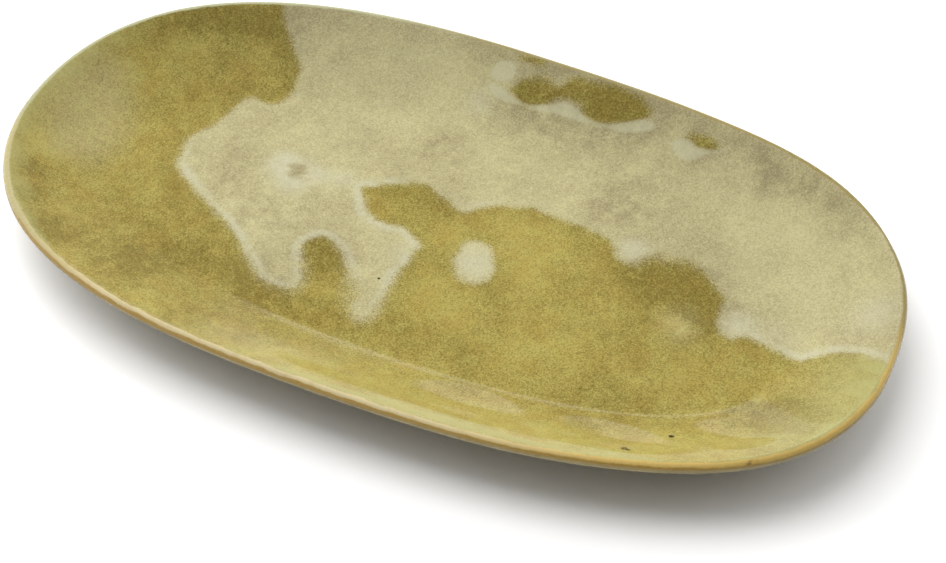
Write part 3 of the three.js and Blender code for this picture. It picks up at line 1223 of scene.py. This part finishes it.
@dataclass
class SpunPiece:
    """A piece spun from its section and drawn out to the oval plan."""

    plan: OvalPlan
    section: Section
    turns: int = 480
    hidden_steps: int = 14
    merge_distance: float = 0.002 * MM
    sharp_angle: float = math.radians(40)

    def spin(self, name: str, profile: list[Point]) -> bpy.types.Object:
        """Models a closed solid from its section.

        Args:
            name: The piece's name.
            profile: Insets and heights round the section, which runs from axis to axis or closes on itself.

        Returns:
            The piece, at the origin.
        """
        radius = self.plan.section_radius
        places = [Vector((radius - inset, 0, level)) for inset, level in profile]
        bpy.ops.object.select_all(action="DESELECT")
        bpy.ops.mesh.primitive_plane_add(size=MM, location=places[0])
        piece = bpy.context.object
        piece.name = piece.data.name = name
        bpy.ops.object.transform_apply(location=True)
        bpy.ops.object.mode_set(mode="EDIT")
        bpy.ops.mesh.select_all(action="SELECT")
        bpy.ops.mesh.merge(type="CENTER")
        for before, after in zip(places, places[1:]):
            bpy.ops.mesh.extrude_region_move(TRANSFORM_OT_translate={"value": after - before})
        bpy.ops.mesh.select_all(action="SELECT")
        bpy.ops.mesh.spin(steps=self.turns, angle=2 * math.pi, center=(0, 0, 0), axis=(0, 0, 1))
        bpy.ops.mesh.select_all(action="SELECT")
        bpy.ops.mesh.remove_doubles(threshold=self.merge_distance)
        bpy.ops.mesh.normals_make_consistent(inside=False)
        bpy.ops.object.mode_set(mode="OBJECT")
        self._draw_out(piece)
        bpy.ops.object.shade_smooth_by_angle(angle=self.sharp_angle)
        return piece

    def clay_face(self) -> list[Point]:
        """Follows the clay's upper face, hidden under the glaze, from the lip to the middle.

        Returns:
            Insets and heights.
        """
        section = self.section
        face = [section.inner_wall(share) for share in steps(self.hidden_steps)]
        insets = steps(self.hidden_steps, section.floor_inset, self.plan.section_radius)
        return face + [(inset, section.floor_level) for inset in insets[1:]]

    def _draw_out(self, piece: bpy.types.Object) -> None:
        """Draws a round piece out to the oval plan, and writes down each vertex's inset from the rim.

        Args:
            piece: The round piece.
        """
        spots = read_spots(piece)
        angle, radius = np.arctan2(spots[:, 1], spots[:, 0]), np.hypot(spots[:, 0], spots[:, 1])
        spots[:, 0], spots[:, 1] = self.plan.carry(radius, angle)
        write_spots(piece, spots)
        write_layer(piece, Layer.INSET, (self.plan.section_radius - radius) / MM)

    def lip_turn(self, piece: bpy.types.Object) -> np.ndarray:
        """Finds each vertex's angle round the lip, in degrees up from the rim's outermost point.

        Args:
            piece: The piece.

        Returns:
            One angle for each vertex.
        """
        inset, level = self.section.lip_middle
        rise = read_spots(piece)[:, 2] - level
        return np.degrees(np.arctan2(rise, inset - read_layer(piece, Layer.INSET) * MM))

    def seat(self, piece: bpy.types.Object, finish: bpy.types.Material, slot: str, *nodes: str) -> None:
        """Dresses a piece and gives it the place of its solids in the frame.

        Args:
            piece: The piece.
            finish: Its material.
            slot: The record's material slot; not used.
            nodes: The solids that it stands for.
        """
        piece.data.materials.append(finish)
        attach(piece, BODY)
        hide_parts(*nodes)
        LOG.info("%s stands for %s", piece.name, ", ".join(nodes))


@dataclass
class Well(SpunPiece):
    """The glazed inside: floor and wall, olive with the pale pour."""

    pattern: PourPattern = field(default_factory=PourPattern)
    hands: HandWork = field(default_factory=HandWork)
    wall_steps: int = 36
    floor_steps: int = 40
    feather: float = 0.12
    pour_relief: float = 0.12 * MM
    pour_edge: Point = (-2, 3)

    def build(self) -> bpy.types.Object:
        """Models the glaze coat and marks where the pour lies.

        Returns:
            The piece.
        """
        section = self.section
        top = []
        for share in steps(self.wall_steps):
            thin = min(share / self.feather, 1)
            coat = section.wash + (section.glaze - section.wash) * thin * (2 - thin)
            top.append(section.inner_wall(share, coat))
        level = section.floor_level + section.glaze
        insets = steps(self.floor_steps, section.floor_inset, self.plan.section_radius)
        top += [(inset, level) for inset in insets[1:]]
        piece = self.spin("glazed_well", self.clay_face()[::-1] + top)
        self._mark(piece)
        return piece

    def _mark(self, piece: bpy.types.Object) -> None:
        """Writes the layers that guide the glaze, and raises the pour and the unevenness of hand work.

        Args:
            piece: The glaze coat.
        """
        spots, inset = read_spots(piece), read_layer(piece, Layer.INSET) * MM
        layers = self.pattern.layers(spots[:, :2] / MM)
        for name, values in layers.items():
            write_layer(piece, name, values)
        hold = smooth_step(*self.hands.rim_hold, inset)
        spots[:, 2] += self.hands.lift(self.section, spots[:, :2], inset)
        spots[:, 2] += hold * self.pour_relief * smooth_step(*self.pour_edge, layers[Layer.POUR])
        write_spots(piece, spots)

    def dress(self, piece: bpy.types.Object) -> None:
        """Glazes the well."""
        self.seat(piece, WellGlaze().material(), "olive_glaze", "inside_glaze", "pale_pour",
                  "pale_drop_middle", "pale_drop_right", "pale_wash_left")


@dataclass
class Rim(SpunPiece):
    """The tan iron wash over the rounded lip."""

    pattern: PourPattern = field(default_factory=PourPattern)
    lip_steps: int = 10

    def build(self) -> bpy.types.Object:
        """Models the wash, and marks the pour and the angle round the lip on it.

        Returns:
            The piece.
        """
        section = self.section
        angles = steps(self.lip_steps, section.wash_edge, math.pi / 2 + section.rim_slope)
        outer = [section.lip(angle, section.wash) for angle in angles]
        inner = [section.lip(angle) for angle in angles]
        loop = outer + inner[::-1]
        piece = self.spin("rim_iron_wash", loop + loop[:1])
        layers = self.pattern.layers(read_spots(piece)[:, :2] / MM)
        for name, values in {**layers, Layer.LIP: self.lip_turn(piece)}.items():
            write_layer(piece, name, values)
        return piece

    def dress(self, piece: bpy.types.Object) -> None:
        """Washes the rim."""
        self.seat(piece, IronWash().material(), "tan_wash", "rim_wash")


@dataclass
class Outside(SpunPiece):
    """The grey green glaze below the rim and on the underside of the wall."""

    wall_steps: int = 24
    lip_steps: int = 8
    feather: float = 0.25 * math.pi
    wash_end: Point = (-8, 6)
    wash_rise: float = 11
    wash_reach: Point = (-40 * MM, 60 * MM)

    def build(self) -> bpy.types.Object:
        """Models the outside coat and marks where the wash stains it.

        Returns:
            The piece.
        """
        section = self.section
        angles = steps(self.lip_steps, section.rim_slope - math.pi / 2, section.wash_edge)
        shares = steps(self.wall_steps, 1.0, 0.0)
        outer = [section.under_wall(share, section.glaze) for share in shares]
        for angle in angles[1:]:
            full = min((section.wash_edge - angle) / self.feather, 1)
            outer.append(section.lip(angle, section.wash + (section.glaze - section.wash) * full))
        inner = [section.under_wall(share) for share in shares] + [section.lip(angle) for angle in angles[1:]]
        loop = outer + inner[::-1]
        piece = self.spin("outside_glaze_coat", loop + loop[:1])
        rise = self.wash_rise * smooth_step(*self.wash_reach, read_spots(piece)[:, 0])
        write_layer(piece, Layer.WASH, smooth_step(*self.wash_end, self.lip_turn(piece) - rise))
        return piece

    def dress(self, piece: bpy.types.Object) -> None:
        """Glazes the outside."""
        self.seat(piece, OutsideGlaze().material(), "grey_green_glaze", "outside_glaze")


@dataclass
class Base(SpunPiece):
    """The clay body, its foot ring and the glaze inside the foot."""

    hands: HandWork = field(default_factory=HandWork)
    lip_steps: int = 14
    wall_steps: int = 12
    toe_steps: int = 4
    glaze_steps: int = 14

    def build_body(self) -> bpy.types.Object:
        """Models the clay body, which shows only round the foot.

        Returns:
            The piece.
        """
        section, radius = self.section, self.plan.section_radius
        lip = steps(self.lip_steps, section.rim_slope - math.pi / 2, section.rim_slope + math.pi / 2)
        profile = [(radius, section.foot_height), (section.foot_inset, section.foot_height)]
        profile += [section.under_wall(share) for share in steps(self.wall_steps, 1.0, 0.0)]
        profile += [section.lip(angle) for angle in lip[1:]]
        profile += self.clay_face()[1:]
        body = self.spin("clay_body", profile)
        spots, inset = read_spots(body), read_layer(body, Layer.INSET) * MM
        wall = np.array([section.inner_wall(share) for share in steps(CURVE_STEPS)])
        upper = spots[:, 2] > np.interp(inset, wall[:, 0], wall[:, 1]) - section.rim_thickness / 2
        spots[upper, 2] += self.hands.lift(section, spots[upper, :2], inset[upper])
        write_spots(body, spots)
        return body

    def build_foot(self) -> bpy.types.Object:
        """Models the foot ring with softened toes and a worn resting face.

        Returns:
            The piece.
        """
        section = self.section
        outer, inner = section.foot_inset, section.foot_inset + section.foot_width
        outer_toe, inner_toe = outer + section.foot_draft, inner - section.foot_draft
        edge, arc = section.foot_edge, steps(self.toe_steps, 0, math.pi / 2)
        profile = [(inner_toe - edge + edge * math.cos(a), edge - edge * math.sin(a)) for a in arc]
        profile += [(outer_toe + edge - edge * math.sin(a), edge - edge * math.cos(a)) for a in arc]
        profile += [(outer, section.foot_height), (inner, section.foot_height)]
        return self.spin("foot_ring_coil", profile + profile[:1])

    def build_glaze(self) -> bpy.types.Object:
        """Models the glaze inside the foot ring.

        Returns:
            The piece.
        """
        section, radius = self.section, self.plan.section_radius
        edge = section.foot_inset + section.foot_width + section.bare_margin
        lower = section.foot_height - section.glaze
        profile = [(inset, lower) for inset in steps(self.glaze_steps, radius, edge + section.glaze)]
        profile += [(edge, section.foot_height), (radius, section.foot_height)]
        return self.spin("base_glaze_coat", profile)

    def dress(self, body: bpy.types.Object, foot: bpy.types.Object, glaze: bpy.types.Object) -> None:
        """Finishes the clay, the foot and the base's glaze.

        Args:
            body: The clay body.
            foot: The foot ring.
            glaze: The glaze inside the foot.
        """
        clay = BareClay().material()
        self.seat(body, clay, "bare_clay", "stoneware_body")
        self.seat(foot, clay, "bare_clay", "foot_ring")
        self.seat(glaze, OutsideGlaze().material(), "grey_green_glaze", "base_glaze")


@dataclass(frozen=True)
class Panel:
    """A glowing panel that faces the plate: its place, in degrees and metres, its size and what it lights."""

    name: str
    turn: float
    height: float
    distance: float
    size: Point
    radiance: float
    lights: bool = True
    mirrored: bool = False


@dataclass(frozen=True)
class Studio:
    """Pale floor, soft light and the photograph's camera. Turns, in degrees, start at the camera's line."""

    azimuth: float = 25.53
    elevation: float = 44.77
    distance: float = 955.5 * MM
    target: tuple[float, float, float] = (24.7 * MM, -27.56 * MM, 27 * MM)
    lens: float = 100.95
    sensor: float = 36.0
    floor_size: float = 8.0
    floor_colour: Colour = (0.97, 0.97, 0.97)
    floor_roughness: float = 0.9
    bright_turn: float = -25
    bright_height: float = 25
    room_light: Span = Span(-0.7, 0.35, 0, 0.73)
    panels: tuple[Panel, ...] = (
        Panel("overhead_softbox", -60, 70, 1.6, (1.15, 1.57), 3.05),
        Panel("side_window", -75, 37, 2.2, (1.2, 0.75), 3.45),
        Panel("right_wall", 85, 32, 2.4, (1.2, 0.8), 0.8),
        Panel("back_wall", 8, 23, 2.7, (10.0, 2.2), 1.8),
        Panel("mirrored_window", 3, 13, 2.0, (0.4, 0.76), 1.5, lights=False, mirrored=True),
    )

    def way(self, turn: float, height: float) -> Vector:
        """Points from the plate into the room.

        Args:
            turn: Angle from the camera's forward line, positive to its right, in degrees.
            height: Angle above the floor, in degrees.

        Returns:
            The direction.
        """
        bearing, height = math.radians(self.azimuth - turn), math.radians(height)
        level = math.cos(height)
        return Vector((-math.sin(bearing) * level, math.cos(bearing) * level, math.sin(height)))

    @staticmethod
    def facing(spot: Vector, back: Vector) -> Matrix:
        """Finds the place of a camera or a panel at a spot, with its back along a direction."""
        return Matrix.Translation(spot) @ back.to_track_quat("Z", "Y").to_matrix().to_4x4()

    def camera(self) -> None:
        """Places the camera where the photograph was taken."""
        data = bpy.data.cameras.new("photo_camera")
        data.lens, data.sensor_width, data.sensor_fit = self.lens, self.sensor, "HORIZONTAL"
        camera = bpy.data.objects.new("photo_camera", data)
        bpy.context.scene.collection.objects.link(camera)
        back = self.way(180, self.elevation)
        camera.matrix_world = self.facing(Vector(self.target) + back * self.distance, back)
        bpy.context.scene.camera = camera

    def floor(self) -> None:
        """Lays the pale floor."""
        bpy.ops.object.select_all(action="DESELECT")
        bpy.ops.mesh.primitive_plane_add(size=self.floor_size)
        floor = bpy.context.object
        floor.name = "studio_floor"
        material = bpy.data.materials.new("studio_white")
        material.use_nodes = True
        shader = material.node_tree.nodes["Principled BSDF"]
        shader.inputs["Base Color"].default_value = (*self.floor_colour, 1)
        shader.inputs["Roughness"].default_value = self.floor_roughness
        shader.inputs["Specular IOR Level"].default_value = 0.0
        floor.data.materials.append(material)

    def hang(self, panel: Panel) -> None:
        """Hangs a panel, which the camera doesn't see.

        Args:
            panel: The panel.
        """
        data = bpy.data.lights.new(panel.name, "AREA")
        data.shape = "RECTANGLE"
        data.size, data.size_y = panel.size
        data.energy = panel.radiance * math.pi * data.size * data.size_y
        light = bpy.data.objects.new(panel.name, data)
        way = self.way(panel.turn, panel.height)
        light.matrix_world = self.facing(way * panel.distance, way)
        light.visible_camera = False
        light.visible_diffuse, light.visible_glossy = panel.lights, panel.mirrored
        bpy.context.scene.collection.objects.link(light)

    def room(self) -> None:
        """Hangs the panels in a room that is dimmer on the camera's side."""
        for panel in self.panels:
            self.hang(panel)
        world = bpy.data.worlds.new("pale_room")
        world.use_nodes = True
        board = NodeBoard(world.node_tree, "Generated")
        bright = board.along(self.way(self.bright_turn, self.bright_height))
        level = board.remap(bright, self.room_light)
        background = world.node_tree.nodes["Background"]
        background.inputs["Color"].default_value = (1, 1, 1, 1)
        world.node_tree.links.new(level, background.inputs["Strength"])
        bpy.context.scene.world = world
        bpy.context.scene.view_settings.view_transform = "Standard"


def main() -> None:
    """Builds the plate piece by piece and sets the studio round it."""
    logging.basicConfig(level=logging.INFO, format="%(name)s: %(message)s")
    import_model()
    plan, section = OvalPlan(), Section()
    studio = Studio()
    studio.camera()

    well = Well(plan, section)
    well.dress(well.build())
    rim = Rim(plan, section)
    rim.dress(rim.build())
    outside = Outside(plan, section)
    outside.dress(outside.build())
    base = Base(plan, section, turns=288)
    base.dress(base.build_body(), base.build_foot(), base.build_glaze())

    studio.floor()
    studio.room()
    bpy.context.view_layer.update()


if __name__ == "__main__":
    main()
